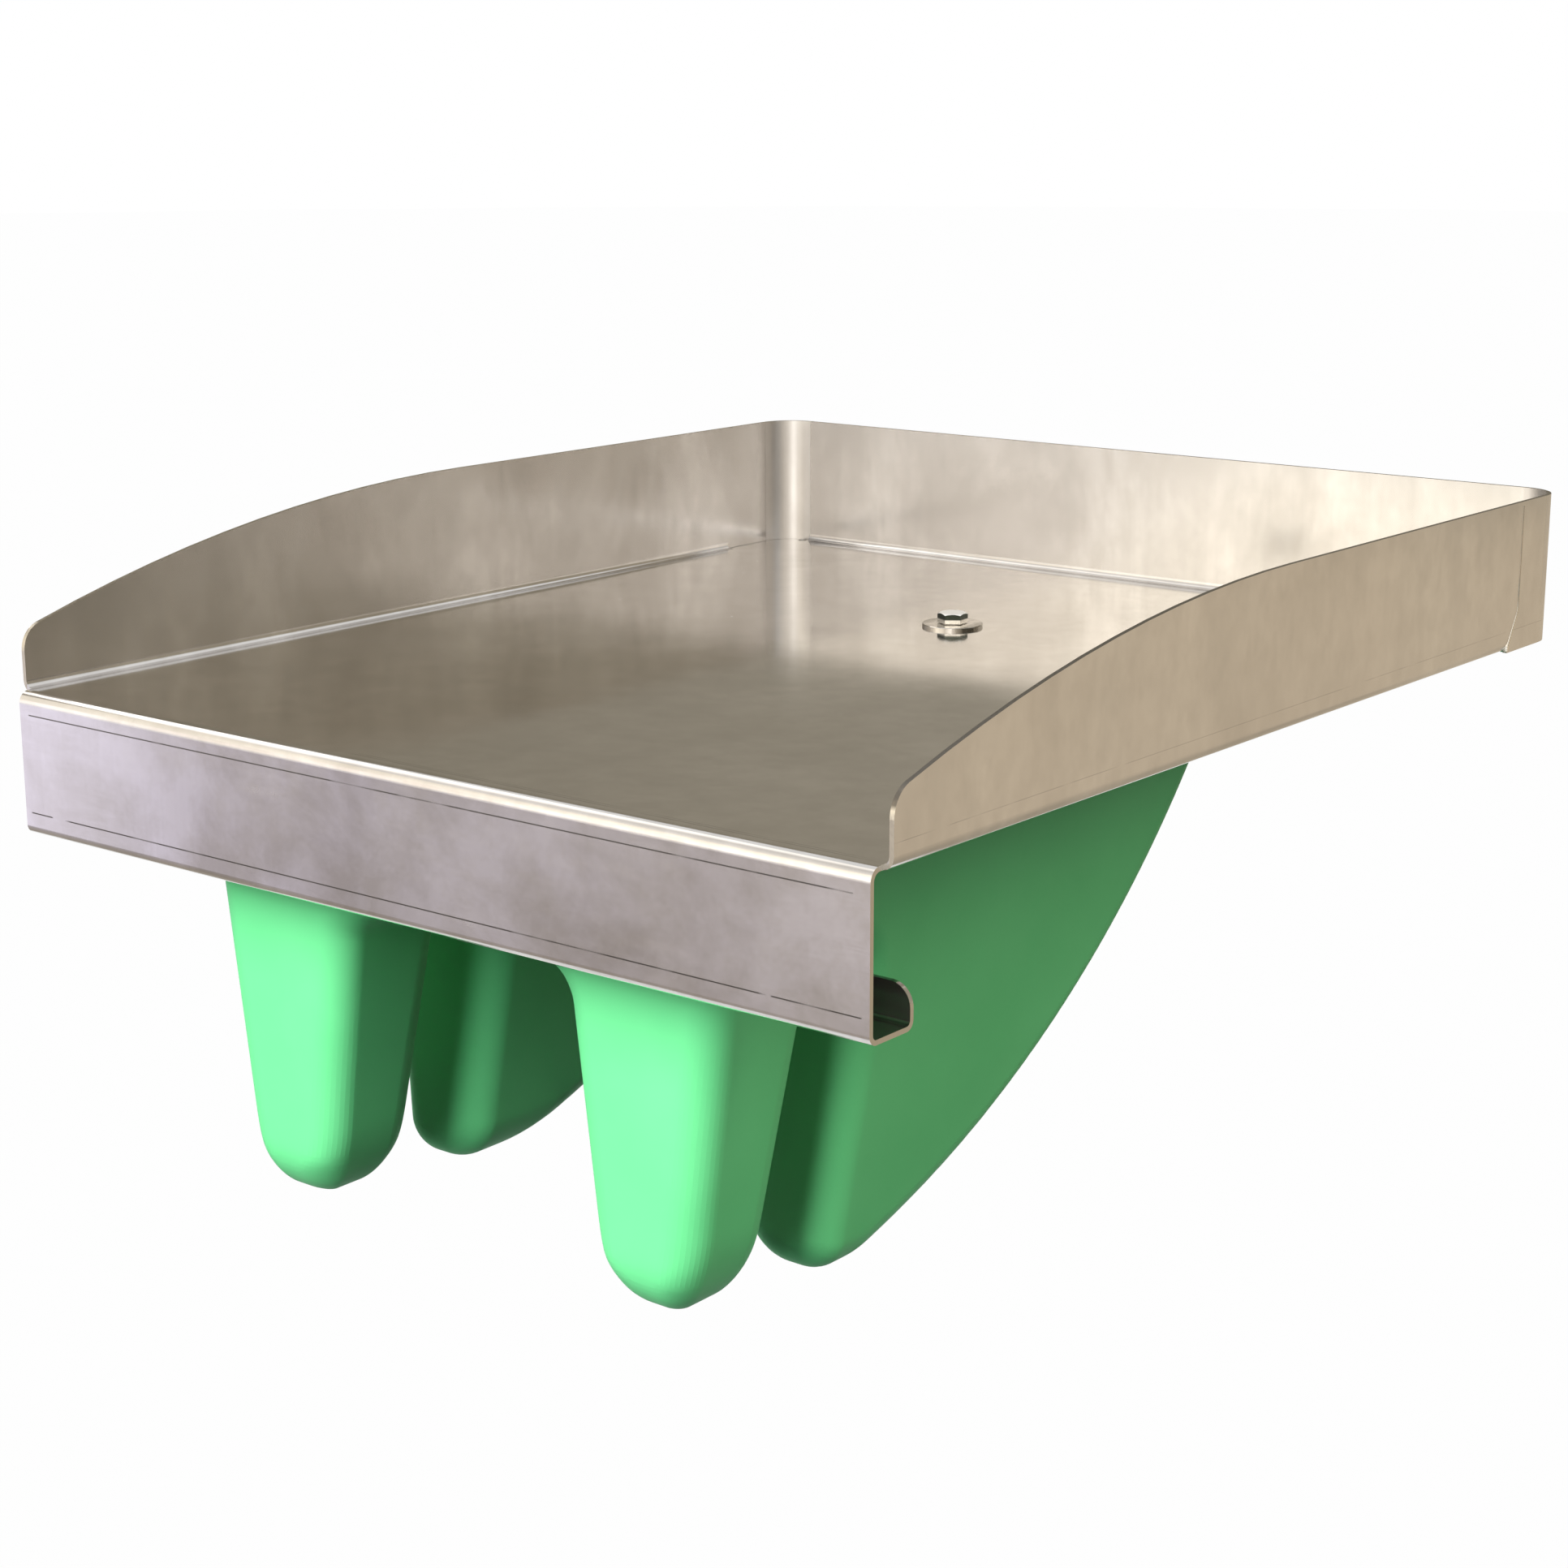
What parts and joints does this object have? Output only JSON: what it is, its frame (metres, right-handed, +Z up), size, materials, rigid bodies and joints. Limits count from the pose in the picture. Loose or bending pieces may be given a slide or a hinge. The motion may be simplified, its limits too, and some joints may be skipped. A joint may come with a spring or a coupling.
{
  "type": "saddle-mounted tray",
  "caption": "Open-fronted folded stainless tray with a hemmed drip apron, bolted on a green moulded saddle foot with a cross-shaped slot.",
  "frame": {"origin": "middle of the crossing of the saddle's two slots, level with the long slot's roof, where the part hangs on its rail", "axes": "+Z up through the tray, +Y from the open apron end to the back wall, +X across the tray"},
  "size_m": [0.48, 0.55, 0.2933],
  "materials": {
    "sheet": "cold-rolled stainless, semi-bright, with rubbed cloudy patches",
    "weld": "dressed flush",
    "moulding": "satin moulded skin",
    "fastener": "stainless, bright",
    "insert": "turned"
  },
  "bodies": {
    "root": {"tray_sheet": "sheet", "corner_weld_left": "weld", "corner_weld_right": "weld", "saddle_moulding": "moulding", "threaded_insert": "insert", "penny_washer": "fastener", "hex_bolt": "fastener"}
  },
  "joints": []
}
